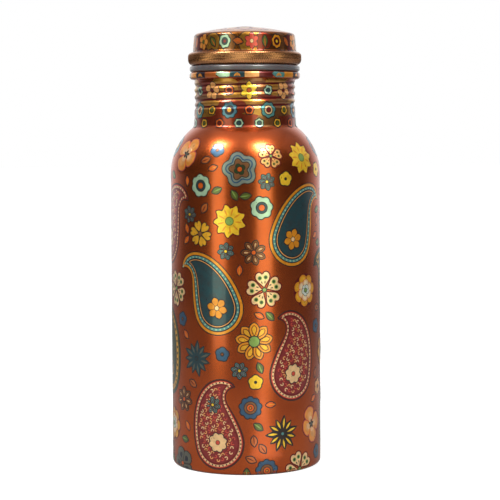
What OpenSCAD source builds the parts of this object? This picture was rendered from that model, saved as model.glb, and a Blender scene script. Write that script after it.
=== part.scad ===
// Printed copper water bottle with a screw cap.
// A drawn one-piece copper body with a spun shoulder, a rolled screw neck and a
// curled lip; a silicone washer; and a cap made of a domed shell whose knurled rim
// is rolled round the flange of a threaded inner cup.
// Frame: +Z up, origin at the centre of the base, millimetres.

/* [Sheet] */
// Thickness of the copper sheet
wall = 0.6; // [0.5:0.05:0.7]

/* [Body] */
// Outside diameter of the body
body_d = 75; // [74:0.5:76]
// Height at which the straight wall ends and the shoulder begins
shoulder_z = 146.5; // [146:0.5:147.5]
// Radius of the shoulder's curve
shoulder_r = 29; // [28.5:0.25:29.5]
// Radius of the corner between the wall and the base
base_corner_r = 2; // [1.5:0.25:2.5]
// How far the middle of the base is pressed in
base_rise = 1.5; // [1:0.25:2]
// Radius of the pressed-in part of the base
base_dish_r = 29; // [27:0.5:31]

/* [Neck] */
// Outside radius of the neck over the thread's crests
neck_r = 25.1; // [25:0.05:25.2]
// Outside radius at the foot of the neck
neck_foot_r = 25.5; // [25.4:0.05:25.6]
// Radius of the hollow curve between shoulder and neck
neck_fillet_r = 2.5; // [2:0.25:3]
// Height at which the neck's thread begins
thread_z = 177.8; // [177.5:0.1:178]
// Height of the top of the curled lip
lip_z = 197.1; // [197:0.1:197.4]
// Height of the curled lip
lip_h = 3.7; // [3.6:0.1:4]
// Outside radius of the curled lip
lip_r = 27.6; // [27.4:0.1:27.8]

/* [Thread] */
// Rise of the thread in one turn
pitch = 3.5; // [3.4:0.05:3.6]
// Depth of the rolled groove
thread_depth = 0.6; // [0.5:0.05:0.65]
// Gap between the cap's thread and the neck's
thread_gap = 0.3; // [0.25:0.05:0.35]

/* [Washer] */
// Thickness of the silicone washer under the cap
washer_t = 3.2; // [3:0.1:3.6]

/* [Cap] */
// Outside radius of the cap's knurled rim
rim_r = 28.4; // [28.3:0.05:28.5]
// Height of the knurled rim
rim_h = 6.6; // [6.4:0.1:7]
// Radius of the cap's side just under its top edge
cap_top_r = 25.3; // [25:0.1:25.4]
// Radius of the cap's side just above the rim
cap_foot_r = 25.9; // [25.7:0.1:26]
// Height of the cap above the washer
cap_h = 19.1; // [18.8:0.1:19.6]
// Rise of the domed top
dome_rise = 3; // [2.5:0.1:4]
// Radius of the edge round the domed top
cap_edge_r = 2; // [1.8:0.1:2.6]
// How far the threaded cup reaches below the lip
cup_reach = 17.2; // [16.5:0.1:17.5]

/* [Hidden] */

body_r = body_d / 2;
arc_steps = 8;                    // points along a small corner
shoulder_steps = 24;              // points along the shoulder and the dome
rev_fn = 96;                      // fineness of the preview of a revolve

// Shoulder and neck foot: two circles that touch.
shoulder_cx = body_r - shoulder_r;
foot_cx = neck_foot_r + neck_fillet_r;
foot_cz = shoulder_z + sqrt(pow(shoulder_r + neck_fillet_r, 2) - pow(foot_cx - shoulder_cx, 2));
touch_a = atan2(foot_cz - shoulder_z, foot_cx - shoulder_cx);

// Pressed-in base: a 45 degree step.
step_k = tan(22.5);

// Thread: one crest passes the front (270 degrees) at crest_z.
crest_z = 188.9;
facets = 48;                      // facets in one turn
rows_per_turn = 7;
lip_clearance = 0.6;              // plain neck between the thread and the lip's roll
thread_top_z = lip_z - lip_h - lip_clearance;
fade = 1.5;                       // length over which a groove runs out
sharpness = 3;                    // how narrow the crests are
seam = 0.6;                       // how far a threaded sleeve runs into its neighbours
seam_inset = 0.15;                // how much thinner than the sheet it is there
seam_step = 0.1;                  // height over which it thins

// Curled lip.
lip_in_r = neck_r - wall;
lip_corner_r = 1.5;               // outer corners of the roll
lip_mouth_r = 1.1;                // rounding of the mouth
curl_gap = 0.5;                   // between the roll's edge and the neck

// Corners of the washer.
washer_inner_corner_r = 0.4;
washer_outer_corner_r = 1.4;

// Heights of the cap.
washer_z = lip_z;
rim_z = washer_z + washer_t;
top_z = rim_z + cap_h;
rim_top_z = rim_z + rim_h;

// Rolled rim of the cap's shell.
rim_shoulder_r = 2;               // upper corner of the rim
cove_r = 0.7;                     // hollow between the cap's side and the rim
rim_foot_r = 3;                   // lower corner of the rim
hem_in_r = 25.1;                  // inner edge of the sheet, folded in over the washer

// Threaded cup.
cup_r = lip_in_r - thread_gap;
cup_root_r = cup_r - thread_depth;
cup_z = lip_z - cup_reach;
cup_corner_r = 1.2;
cup_foot_h = 1.8;                 // plain foot below the cup's thread
cup_neck_h = 1.4;                 // plain neck between the thread and the lip's top
cup_sleeve_z = cup_z + cup_foot_h;
cup_sleeve_top_z = lip_z - cup_neck_h;
flange_z = rim_z + wall;
flange_gap = 0.1;                 // between the flange and the rim rolled round it
flange_r = rim_r - wall - flange_gap;
flange_corner_r = rim_foot_r - wall - flange_gap;
flange_fillet_r = 0.8;

function arc(cx, cz, r, from, to, steps) =
    [for (i = [0 : steps]) let (a = from + (to - from) * i / steps)
        [cx + r * cos(a), cz + r * sin(a)]];

function reversed(v) = [for (i = [len(v) - 1 : -1 : 0]) v[i]];

function smooth(t) = let (u = max(0, min(1, t))) u * u * (3 - 2 * u);

// One side of the body's sheet, from the middle of the base up to the thread.
// o is 0 for the outside and the sheet's thickness for the inside.
function body_side(o) = concat(
    [[0, base_rise + o],
     [base_dish_r + step_k * o, base_rise + o],
     [base_dish_r + base_rise + step_k * o, o]],
    arc(body_r - base_corner_r, base_corner_r, base_corner_r - o, -90, 0, arc_steps),
    arc(shoulder_cx, shoulder_z, shoulder_r - o, 0, touch_a, shoulder_steps),
    arc(foot_cx, foot_cz, neck_fillet_r + o, touch_a + 180, 180, arc_steps),
    [[neck_r - o, thread_z]]);

// The lip: the neck's top turned outwards and down into a hollow roll.
function lip_side(o) = concat(
    [[lip_in_r + o, thread_top_z + seam_step]],
    arc(lip_in_r + lip_mouth_r, lip_z - lip_mouth_r, lip_mouth_r - o, 180, 90, arc_steps),
    arc(lip_r - lip_corner_r, lip_z - lip_corner_r, lip_corner_r - o, 90, 0, arc_steps),
    arc(lip_r - lip_corner_r, lip_z - lip_h + lip_corner_r, lip_corner_r - o, 0, -90, arc_steps),
    [[neck_r + curl_gap, lip_z - lip_h + o]]);

// 0 on a crest and 1 in the bottom of the groove.
function groove(a, z) = 1 - pow(abs(cos(180 * ((z - crest_z) / pitch - (a - 270) / 360))), sharpness);

// How much of the groove there is at a height: the neck's runs out at both ends.
function neck_depth(a, z) =
    groove(a, z) * smooth((z - thread_z) / fade) * smooth((thread_top_z - z) / fade);

// The cup's thread runs out at the top and starts from the root at the bottom.
function cup_depth(a, z) =
    1 - smooth((z - cup_sleeve_z) / fade)
        * (1 - groove(a, z) * smooth((cup_sleeve_top_z - z) / fade));

// A tube of sheet with the rolled thread in it. Its ends are thinner than the sheet,
// so that they lie wholly inside the plain walls that they join.
module threaded_sleeve(crest_r, z0, z1, on_neck) {
    turns = (z1 - z0) / pitch;
    n = ceil(turns * rows_per_turn);
    rows = concat(
        [[z0 - seam, seam_inset], [z0, seam_inset]],
        [for (j = [0 : n]) [z0 + seam_step + (z1 - z0 - 2 * seam_step) * j / n, 0]],
        [[z1, seam_inset], [z1 + seam, seam_inset]]);
    outer = [for (row = rows) for (i = [0 : facets - 1])
        let (a = 360 * i / facets, z = max(z0, min(z1, row[0])),
             d = on_neck ? neck_depth(a, z) : cup_depth(a, z),
             r = crest_r - thread_depth * d - row[1])
        [r * cos(a), r * sin(a), row[0]]];
    inner = [for (row = rows) for (i = [0 : facets - 1])
        let (a = 360 * i / facets, z = max(z0, min(z1, row[0])),
             d = on_neck ? neck_depth(a, z) : cup_depth(a, z),
             r = crest_r - wall - thread_depth * d + row[1])
        [r * cos(a), r * sin(a), row[0]]];
    m = len(rows) * facets;
    top = m - facets;
    faces = concat(
        [for (j = [0 : len(rows) - 2]) for (i = [0 : facets - 1])
            let (k = (i + 1) % facets, p = j * facets)
            each [[p + i, p + facets + k, p + k], [p + i, p + facets + i, p + facets + k]]],
        [for (j = [0 : len(rows) - 2]) for (i = [0 : facets - 1])
            let (k = (i + 1) % facets, p = m + j * facets)
            each [[p + i, p + k, p + facets + k], [p + i, p + facets + k, p + facets + i]]],
        [for (i = [0 : facets - 1]) let (k = (i + 1) % facets)
            each [[i, k, m + k], [i, m + k, m + i],
                  [top + i, m + top + k, top + k], [top + i, m + top + i, m + top + k]]]);
    polyhedron(points = concat(outer, inner), faces = faces, convexity = 10);
}

module revolve(outline) {
    rotate_extrude($fn = rev_fn) polygon(outline);
}

module bottle_body() {
    color([0.55, 0.27, 0.15]) {
        revolve(concat(body_side(0), reversed(body_side(wall))));
        threaded_sleeve(neck_r, thread_z, thread_top_z + seam_step, true);
        revolve(concat(lip_side(0), reversed(lip_side(wall))));
    }
}

module sealing_washer() {
    in_r = lip_in_r;
    small = washer_inner_corner_r;
    big = washer_outer_corner_r;
    low = washer_z;
    high = washer_z + washer_t;
    color([0.42, 0.38, 0.36])
    revolve(concat(
        arc(in_r + small, low + small, small, 180, 270, arc_steps),
        arc(lip_r - big, low + big, big, -90, 0, arc_steps),
        arc(lip_r - big, high - big, big, 0, 90, arc_steps),
        arc(in_r + small, high - small, small, 90, 180, arc_steps)));
}

// The closed foot of the cup, up to the start of its thread.
function cup_foot_side(o) = concat(
    [[0, cup_z + o]],
    arc(cup_root_r - cup_corner_r, cup_z + cup_corner_r, cup_corner_r - o, -90, 0, arc_steps),
    [[cup_root_r - o, cup_sleeve_z]]);

// The plain top of the cup, its flange and the turned-up edge that fills the rim.
function cup_flange_side(o) = concat(
    [[cup_r - o, cup_sleeve_top_z]],
    arc(cup_r + flange_fillet_r, flange_z - flange_fillet_r, flange_fillet_r + o, 180, 90, arc_steps),
    arc(flange_r - flange_corner_r, flange_z + flange_corner_r, flange_corner_r - o, -90, 0, arc_steps),
    [[flange_r - o, rim_top_z - rim_shoulder_r]]);

module cap_threaded_cup() {
    color([0.80, 0.46, 0.30]) {
        revolve(concat(cup_foot_side(0), reversed(cup_foot_side(wall))));
        threaded_sleeve(cup_r, cup_sleeve_z, cup_sleeve_top_z, false);
        revolve(concat(cup_flange_side(0), reversed(cup_flange_side(wall))));
    }
}

// Dome, rounded edge, side, cove and rolled rim of the shell's sheet.
dome_reach = cap_top_r - cap_edge_r;
dome_r = (dome_reach * dome_reach + dome_rise * dome_rise) / (2 * dome_rise);
edge_cz = top_z - dome_r + sqrt(pow(dome_r - cap_edge_r, 2) - dome_reach * dome_reach);
edge_a = asin(dome_reach / (dome_r - cap_edge_r));

function shell_side(o) = concat(
    arc(0, top_z - dome_r, dome_r - o, 90, 90 - edge_a, shoulder_steps),
    arc(dome_reach, edge_cz, cap_edge_r - o, 90 - edge_a, 0, arc_steps),
    arc(cap_foot_r + cove_r, rim_top_z + cove_r, cove_r + o, 180, 270, arc_steps),
    arc(rim_r - rim_shoulder_r, rim_top_z - rim_shoulder_r, rim_shoulder_r - o, 90, 0, arc_steps),
    arc(rim_r - rim_foot_r, rim_z + rim_foot_r, rim_foot_r - o, 0, -90, arc_steps),
    [[hem_in_r, rim_z + o]]);

module cap_shell() {
    color([0.62, 0.33, 0.17])
    revolve(concat(shell_side(0), reversed(shell_side(wall))));
}

bottle_body();
sealing_washer();
cap_threaded_cup();
cap_shell();
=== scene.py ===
"""A printed copper water bottle with a screw cap.

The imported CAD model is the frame. The script builds fine meshes for the body, washer, threaded cup
and cap shell round it, and lays the print on them: every flower and leaf is drawn in millimetres as
stacked shapes of ink, which are then bent onto the copper as thin closed films.

Lengths in the script are millimetres until a mesh is made. Angles are degrees round the bottle's
axis, 0 at the front (-Y) and growing towards +X.
"""

import math

import bpy
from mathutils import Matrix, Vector
from mathutils.geometry import delaunay_2d_cdt


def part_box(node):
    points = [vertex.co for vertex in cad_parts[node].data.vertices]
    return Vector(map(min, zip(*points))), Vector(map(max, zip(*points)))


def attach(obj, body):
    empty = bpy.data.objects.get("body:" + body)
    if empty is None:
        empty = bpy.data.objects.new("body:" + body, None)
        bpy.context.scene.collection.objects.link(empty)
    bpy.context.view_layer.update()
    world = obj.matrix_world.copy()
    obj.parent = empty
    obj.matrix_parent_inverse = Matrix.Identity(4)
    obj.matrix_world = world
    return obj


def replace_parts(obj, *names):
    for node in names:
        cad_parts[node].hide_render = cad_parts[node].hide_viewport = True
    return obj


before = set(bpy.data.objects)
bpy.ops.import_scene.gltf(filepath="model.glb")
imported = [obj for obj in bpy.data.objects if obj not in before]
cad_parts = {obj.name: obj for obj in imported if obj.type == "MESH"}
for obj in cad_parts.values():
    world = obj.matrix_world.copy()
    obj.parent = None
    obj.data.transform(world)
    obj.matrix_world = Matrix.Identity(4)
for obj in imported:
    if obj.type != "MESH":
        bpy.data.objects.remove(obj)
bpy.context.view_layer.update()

MM = 0.001
SCENE = bpy.context.scene


# ---------------------------------------------------------------- sizes, from the frame

def top_of(node):
    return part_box(node)[1].z / MM


def bottom_of(node):
    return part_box(node)[0].z / MM


def radius_of(node):
    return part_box(node)[1].x / MM


BODY_R = radius_of("bottle_body")
LIP_Z = top_of("bottle_body")
RIM_Z = bottom_of("cap_shell")
CAP_TOP_Z = top_of("cap_shell")
RIM_R = radius_of("cap_shell")
LIP_R = WASHER_R = radius_of("sealing_washer")
CUP_Z = bottom_of("cap_threaded_cup")

WALL = 0.6
SHOULDER_Z, SHOULDER_R = 146.5, 29.0
BASE_CORNER_R, BASE_RISE, BASE_DISH_R = 2.0, 1.5, 29.0
NECK_R, NECK_FOOT_R, NECK_FILLET_R = 25.1, 25.5, 2.5
THREAD_Z, PITCH, THREAD_DEPTH, CREST_Z = 177.8, 3.5, 0.6, 188.9
LIP_H, LIP_CORNER_R, LIP_MOUTH_R, CURL_GAP = 3.7, 1.5, 1.1, 0.5
THREAD_TOP_Z = LIP_Z - LIP_H - WALL
FADE, SHARPNESS = 1.5, 3
LIP_IN_R = NECK_R - WALL
CUP_R = LIP_IN_R - 0.3
CUP_ROOT_R = CUP_R - THREAD_DEPTH
CUP_SLEEVE_Z, CUP_SLEEVE_TOP_Z = CUP_Z + 1.8, LIP_Z - 1.4
CUP_CORNER_R = 1.2
RIM_H, RIM_SHOULDER_R, RIM_FOOT_R, COVE_R, HEM_IN_R = 6.6, 2.0, 3.0, 0.7, 25.1
RIM_TOP_Z = RIM_Z + RIM_H
FLANGE_R = RIM_R - WALL - 0.1
FLANGE_CORNER_R, FLANGE_FILLET_R = RIM_FOOT_R - WALL - 0.1, 0.8
CAP_TOP_R, CAP_FOOT_R, CAP_EDGE_R, DOME_RISE = 25.3, 25.9, 2.0, 3.0

SHOULDER_CX = BODY_R - SHOULDER_R
FOOT_CX = NECK_FOOT_R + NECK_FILLET_R
FOOT_CZ = SHOULDER_Z + math.sqrt((SHOULDER_R + NECK_FILLET_R) ** 2 - (FOOT_CX - SHOULDER_CX) ** 2)
TOUCH = math.degrees(math.atan2(FOOT_CZ - SHOULDER_Z, FOOT_CX - SHOULDER_CX))
DOME_REACH = CAP_TOP_R - CAP_EDGE_R
DOME_R = (DOME_REACH ** 2 + DOME_RISE ** 2) / (2 * DOME_RISE)
DOME_CZ = CAP_TOP_Z - DOME_R
EDGE_ANGLE = math.degrees(math.asin(DOME_REACH / (DOME_R - CAP_EDGE_R)))
EDGE_CZ = DOME_CZ + math.sqrt((DOME_R - CAP_EDGE_R) ** 2 - DOME_REACH ** 2)

COLUMNS = 264                     # facets round a turned piece
RIM_COLUMNS = 704                 # and round the shell, four for each ridge
KNURLS = 176                      # ridges round the cap's rim
KNURL_DEPTH, KNURL_LEAN = 0.28, 0.6


# ---------------------------------------------------------------- turned metalwork

def arc(cx, cz, r, start, end, steps):
    """Points on an arc in the (radius, height) plane, from angle start to end in degrees."""
    angles = [math.radians(start + (end - start) * i / steps) for i in range(steps + 1)]
    return [(cx + r * math.cos(a), cz + r * math.sin(a)) for a in angles]


def line(a, b, steps):
    """Points on the line from a to b, without a itself."""
    return [(a[0] + (b[0] - a[0]) * i / steps, a[1] + (b[1] - a[1]) * i / steps)
            for i in range(1, steps + 1)]


def ease(t):
    t = min(1.0, max(0.0, t))
    return t * t * (3 - 2 * t)


def groove(angle, z):
    """0 on the thread's crest, 1 in the bottom of its groove. The angle is in radians from +X."""
    turn = (z - CREST_Z) / PITCH - (angle / math.tau - 0.75)
    return 1 - abs(math.cos(math.pi * turn)) ** SHARPNESS


def neck_groove(angle, r, z):
    """The neck's radius at a point that is plain without its thread."""
    fade = ease((z - THREAD_Z) / FADE) * ease((THREAD_TOP_Z - z) / FADE)
    return r - THREAD_DEPTH * groove(angle, z) * fade


def cup_groove(angle, r, z):
    """The cup's radius: its foot is written at the thread's root and its sleeve at the crest."""
    if z < CUP_SLEEVE_Z:
        return r
    at_top = ease((CUP_SLEEVE_TOP_Z - z) / FADE)
    ridge = ease((z - CUP_SLEEVE_Z) / FADE) * (1 - groove(angle, z) * at_top)
    return r - THREAD_DEPTH * (1 - ridge)


def knurled(angle, r, z):
    """Fine slanting ridges on the straight part of the rim, run out at its two corners."""
    middle = RIM_Z + 0.47 * RIM_H
    fade = ease((0.42 * RIM_H - abs(z - middle)) / 0.9)
    wave = math.cos(KNURLS * (angle + KNURL_LEAN * (z - RIM_Z) / RIM_R))
    return r - KNURL_DEPTH * fade * (0.5 - 0.5 * wave)


def plain(angle, r, z):
    return r


def turned_mesh(name, outline, material, shape=plain, columns=COLUMNS):
    """A closed solid of revolution. Outline rows are (radius, height), and shape may carve them."""
    verts, rings = [], []
    for r, z in outline:
        if r < 1e-6:
            rings.append([len(verts)] * columns)
            verts.append((0, 0, z * MM))
            continue
        rings.append([len(verts) + i for i in range(columns)])
        for i in range(columns):
            a = math.tau * i / columns
            q = shape(a, r, z) * MM
            verts.append((q * math.cos(a), q * math.sin(a), z * MM))
    faces = []
    closed = outline[0][0] > 1e-6
    pairs = list(zip(rings, rings[1:] + rings[:1])) if closed else list(zip(rings, rings[1:]))
    for low, high in pairs:
        for i in range(columns):
            k = (i + 1) % columns
            face = [low[i], low[k], high[k], high[i]]
            face = [v for n, v in enumerate(face) if v != face[n - 1]]
            if len(face) > 2:
                faces.append(face)
    return finished(name, verts, faces, [material], sharp=38)


def finished(name, verts, faces, materials, sharp=None):
    mesh = bpy.data.meshes.new(name)
    mesh.from_pydata(verts, [], faces)
    mesh.validate()
    for material in materials:
        mesh.materials.append(material)
    mesh.shade_smooth()
    if sharp:
        mesh.set_sharp_from_angle(angle=math.radians(sharp))
    piece = bpy.data.objects.new(name, mesh)
    SCENE.collection.objects.link(piece)
    return piece


def body_outline():
    """The body's sheet as one closed outline: up the outside, round the lip, down the inside."""
    def side(o):
        step = math.tan(math.radians(22.5)) * o
        rows = [(0.0, BASE_RISE + o), (BASE_DISH_R + step, BASE_RISE + o),
                (BASE_DISH_R + BASE_RISE + step, o)]
        rows += arc(BODY_R - BASE_CORNER_R, BASE_CORNER_R, BASE_CORNER_R - o, -90, 0, 10)
        rows += line(rows[-1], (BODY_R - o, SHOULDER_Z), 16 if o == 0 else 4)
        rows += arc(SHOULDER_CX, SHOULDER_Z, SHOULDER_R - o, 0, TOUCH, 36 if o == 0 else 14)[1:]
        rows += arc(FOOT_CX, FOOT_CZ, NECK_FILLET_R + o, TOUCH + 180, 180, 10)[1:]
        rows += line(rows[-1], (NECK_R - o, THREAD_Z), 3)
        rows += line(rows[-1], (NECK_R - o, THREAD_TOP_Z), 84 if o == 0 else 56)
        return rows

    def lip(o):
        low = LIP_Z - LIP_H
        rows = arc(LIP_IN_R + LIP_MOUTH_R, LIP_Z - LIP_MOUTH_R, LIP_MOUTH_R - o, 180, 90, 8)
        rows += arc(LIP_R - LIP_CORNER_R, LIP_Z - LIP_CORNER_R, LIP_CORNER_R - o, 90, 0, 10)
        rows += arc(LIP_R - LIP_CORNER_R, low + LIP_CORNER_R, LIP_CORNER_R - o, 0, -90, 10)
        return rows + [(NECK_R + CURL_GAP, low + o)]

    return side(0) + lip(WALL) + lip(0)[::-1] + side(WALL)[::-1]


def cup_outline():
    """The threaded cup: foot, sleeve, flange and the turned-up edge inside the rim."""
    def side(o):
        rows = [(0.0, CUP_Z + o), (0.5 * CUP_ROOT_R, CUP_Z + o)]
        rows += arc(CUP_ROOT_R - CUP_CORNER_R, CUP_Z + CUP_CORNER_R, CUP_CORNER_R - o, -90, 0, 8)
        rows += line((CUP_R - o, CUP_SLEEVE_Z), (CUP_R - o, CUP_SLEEVE_TOP_Z), 84 if o == 0 else 56)
        rows += arc(CUP_R + FLANGE_FILLET_R, RIM_Z + WALL - FLANGE_FILLET_R, FLANGE_FILLET_R + o,
                    180, 90, 8)
        rows += arc(FLANGE_R - FLANGE_CORNER_R, RIM_Z + WALL + FLANGE_CORNER_R,
                    FLANGE_CORNER_R - o, -90, 0, 10)
        return rows + [(FLANGE_R - o, RIM_TOP_Z - RIM_SHOULDER_R)]

    return side(0) + side(WALL)[::-1]


def shell_outline():
    """The cap's shell: dome, rounded edge, side, cove, rolled rim and hem."""
    def side(o):
        fine = 2 if o == 0 else 1
        rows = arc(0, DOME_CZ, DOME_R - o, 90, 90 - EDGE_ANGLE, 6 * fine)
        rows += arc(DOME_REACH, EDGE_CZ, CAP_EDGE_R - o, 90 - EDGE_ANGLE, 0, 6 * fine)[1:]
        rows += arc(CAP_FOOT_R + COVE_R, RIM_TOP_Z + COVE_R, COVE_R + o, 180, 270, 4 * fine)
        rows += arc(RIM_R - RIM_SHOULDER_R, RIM_TOP_Z - RIM_SHOULDER_R, RIM_SHOULDER_R - o,
                    90, 0, 7 * fine)[1:]
        rows += line(rows[-1], (RIM_R - o, RIM_Z + RIM_FOOT_R), 3 * fine)
        rows += arc(RIM_R - RIM_FOOT_R, RIM_Z + RIM_FOOT_R, RIM_FOOT_R - o, 0, -90, 7 * fine)[1:]
        return rows + [(HEM_IN_R, RIM_Z + o)]

    return side(0) + side(WALL)[::-1]


def washer_outline():
    """The washer is squeezed a little: its outer edge bulges between the lip and the rim."""
    low, high = LIP_Z, RIM_Z
    inner, outer = 0.4, 1.4
    return (arc(LIP_IN_R + inner, low + inner, inner, 180, 270, 6)
            + arc(WASHER_R - outer, low + outer, outer, -90, 0, 12)
            + arc(WASHER_R - outer, high - outer, outer, 0, 90, 12)
            + arc(LIP_IN_R + inner, high - inner, inner, 90, 180, 6))


# ---------------------------------------------------------------- materials

def linear(rgb):
    """A colour given as 0-255 screen values, as linear light."""
    values = [c / 255 for c in rgb]
    return tuple(c / 12.92 if c <= 0.04045 else ((c + 0.055) / 1.055) ** 2.4 for c in values)


class Nodes:
    """A short way to build the node tree of one material, or of the world."""

    def __init__(self, name, owners=bpy.data.materials, shader="Principled BSDF"):
        self.owner = owners.new(name)
        self.owner.use_nodes = True
        self.tree = self.owner.node_tree
        self.shader = self.tree.nodes[shader]

    def add(self, kind, **settings):
        node = self.tree.nodes.new(kind)
        for key, value in settings.items():
            setattr(node, key, value)
        return node

    def link(self, source, target):
        self.tree.links.new(source, target)

    def feed(self, socket, source):
        self.link(source, self.shader.inputs[socket])

    def place(self, kind="Object"):
        return self.add("ShaderNodeTexCoord").outputs[kind]

    def axes(self, kind="Object"):
        node = self.add("ShaderNodeSeparateXYZ")
        self.link(self.place(kind), node.inputs[0])
        return node.outputs

    def maths(self, operation, *values):
        node = self.add("ShaderNodeMath", operation=operation)
        for value, socket in zip(values, node.inputs):
            self.link(value, socket)
        return node.outputs[0]

    def noise(self, scale, detail=3.0, roughness=0.5):
        """Noise with scale in features a millimetre."""
        node = self.add("ShaderNodeTexNoise")
        node.inputs["Scale"].default_value = scale / MM
        node.inputs["Detail"].default_value = detail
        node.inputs["Roughness"].default_value = roughness
        self.link(self.place(), node.inputs["Vector"])
        return node.outputs["Fac"]

    def spread(self, value, low, high, start=0.3, end=0.7, step="LINEAR"):
        """The value from start to end, spread over low to high."""
        node = self.add("ShaderNodeMapRange", interpolation_type=step)
        for key, number in (("From Min", start), ("From Max", end),
                            ("To Min", low), ("To Max", high)):
            node.inputs[key].default_value = number
        self.link(value, node.inputs["Value"])
        return node.outputs["Result"]

    def mixed(self, factor, a, b):
        node = self.add("ShaderNodeMix", data_type="RGBA")
        self.link(factor, node.inputs["Factor"])
        for socket, value in ((node.inputs[6], a), (node.inputs[7], b)):
            if isinstance(value, tuple):
                socket.default_value = (*value, 1)
            else:
                self.link(value, socket)
        return node.outputs[2]

    def bump(self, height, distance, strength):
        node = self.add("ShaderNodeBump")
        node.inputs["Strength"].default_value = strength
        node.inputs["Distance"].default_value = distance * MM
        self.link(height, node.inputs["Height"])
        return node.outputs["Normal"]

    def set(self, **values):
        for key, value in values.items():
            self.shader.inputs[key.replace("_", " ")].default_value = value


def lacquer_ripple(m):
    """The lacquer's orange peel, the same over copper and ink, so that highlights run on."""
    return m.bump(m.noise(1.6, detail=2), 0.010, 0.35)


def copper(name, dark, light, roughness, coat, grain=1.0):
    """Sheet copper under tinted lacquer, with a satin grain and a cloudy tone."""
    m = Nodes(name)
    cloud = m.spread(m.noise(0.05, detail=4), 0, 1)
    speck = m.spread(m.noise(1.9, detail=3, roughness=0.6), 0, 1)
    tone = m.mixed(cloud, linear(dark), linear(light))
    deep = tuple(0.72 * c for c in linear(dark))
    m.feed("Base Color", m.mixed(m.spread(speck, 0.09 * grain, 0.0), tone, deep))
    m.feed("Roughness", m.spread(speck, roughness - 0.015, roughness + 0.02))
    m.feed("Normal", lacquer_ripple(m))
    m.set(Metallic=0.97, Coat_Weight=coat, Coat_Roughness=0.10)
    return m.owner


THIN_SHARE, COPPER_SHARE, UNDER_INK = 0.72, 0.04, linear((170, 80, 40))


def ink(name, rgb, metallic, coat):
    """Half-covering lacquer ink: slightly mottled colour, with the copper's sheen under it."""
    m = Nodes(name)
    full = linear(rgb)
    thin = tuple(THIN_SHARE * c + COPPER_SHARE * w for c, w in zip(full, UNDER_INK))
    patch = m.spread(m.noise(0.35, detail=4), 0, 1)
    m.feed("Base Color", m.mixed(patch, full, thin))
    m.feed("Roughness", m.spread(m.noise(1.1), 0.27, 0.35))
    m.feed("Normal", lacquer_ripple(m))
    m.set(Metallic=metallic, Coat_Weight=coat, Coat_Roughness=0.06)
    return m.owner


def silicone(name, rgb):
    m = Nodes(name)
    full = linear(rgb)
    pale = tuple(1.35 * c for c in full)
    m.feed("Base Color", m.mixed(m.spread(m.noise(0.12, detail=3), 0, 1), full, pale))
    m.feed("Roughness", m.spread(m.noise(0.8), 0.30, 0.42))
    m.feed("Normal", m.bump(m.noise(0.5), 0.02, 0.4))
    m.set(Subsurface_Weight=0.25, Subsurface_Scale=0.002, Coat_Weight=0.5, Coat_Roughness=0.15)
    return m.owner


COPPER_BODY = copper("lacquered_copper", (176, 78, 36), (194, 91, 43), 0.25, 0.22)
COPPER_BRIGHT = copper("bare_copper", (214, 138, 104), (232, 160, 124), 0.33, 0.0, grain=0.6)
COPPER_CAP = copper("cap_copper", (150, 82, 32), (178, 108, 42), 0.24, 0.30, grain=0.6)
COPPER_RIM = copper("rim_copper", (164, 108, 68), (192, 132, 88), 0.26, 0.1, grain=1.4)
SILICONE = silicone("silicone", (72, 66, 70))


# ---------------------------------------------------------------- drawing, in millimetres

def circle(r, at=(0, 0), n=0):
    n = n or max(10, min(48, int(9 * math.sqrt(r)) + 8))
    return [(at[0] + r * math.cos(math.tau * i / n), at[1] + r * math.sin(math.tau * i / n))
            for i in range(n)]


def oval(rx, ry, at=(0, 0)):
    return [(at[0] + x * rx, at[1] + y * ry) for x, y in circle(1, n=28)]


def moved(points, at=(0, 0), turn=0.0, flip=False):
    c, s = math.cos(math.radians(turn)), math.sin(math.radians(turn))
    out = [(at[0] + x * c - y * s, at[1] + x * s + y * c)
           for x, y in (((-x, y) if flip else (x, y)) for x, y in points)]
    return out[::-1] if flip else out


def polar(out, turn):
    """The spot that far from the origin, turned from +Y."""
    return moved([(0, out)], turn=turn)[0]


def around(shape, n, out=0.0):
    """n copies of a shape that points along +Y, moved out and turned evenly about the origin."""
    shape = [(x, y + out) for x, y in shape]
    return [moved(shape, turn=360 * i / n) for i in range(n)]


def petal(length, width, belly=1.4, full=0.8):
    """A petal from the origin along +Y. belly moves its widest point out; full rounds its ends."""
    n = 14
    half = [(0.5 * width * math.sin(math.pi * (i / n) ** belly) ** full, length * i / n)
            for i in range(1, n)]
    return [(0, 0)] + half + [(0, length)] + [(-x, y) for x, y in half[::-1]]


def heart(length, width):
    """The textbook heart curve, with its point at the origin."""
    out, n = [], 26
    for i in range(n):
        a = math.pi + math.tau * i / n
        y = 13 * math.cos(a) - 5 * math.cos(2 * a) - 2 * math.cos(3 * a) - math.cos(4 * a)
        out.append((0.5 * width * math.sin(a) ** 3, length * (y + 17) / 29))
    return out[::-1]


def lobed(r, lobes, depth, start=0.0, power=1.0):
    """A round outline with that many rounded lobes, cut in by depth as a share of r."""
    out, n = [], lobes * 9
    for i in range(n):
        a = math.tau * i / n
        k = abs(math.cos(0.5 * lobes * a)) ** power
        rho = r * (1 - depth + depth * k)
        b = a + math.radians(90 + start)
        out.append((rho * math.cos(b), rho * math.sin(b)))
    return out


def grown(outline, d):
    """The outline moved out by d along its normals, or in where d is negative."""
    out, n = [], len(outline)
    for i, (x, y) in enumerate(outline):
        (ax, ay), (bx, by) = outline[i - 1], outline[(i + 1) % n]
        tx, ty = bx - ax, by - ay
        k = math.hypot(tx, ty) or 1.0
        out.append((x + d * ty / k, y - d * tx / k))
    return out


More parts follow.
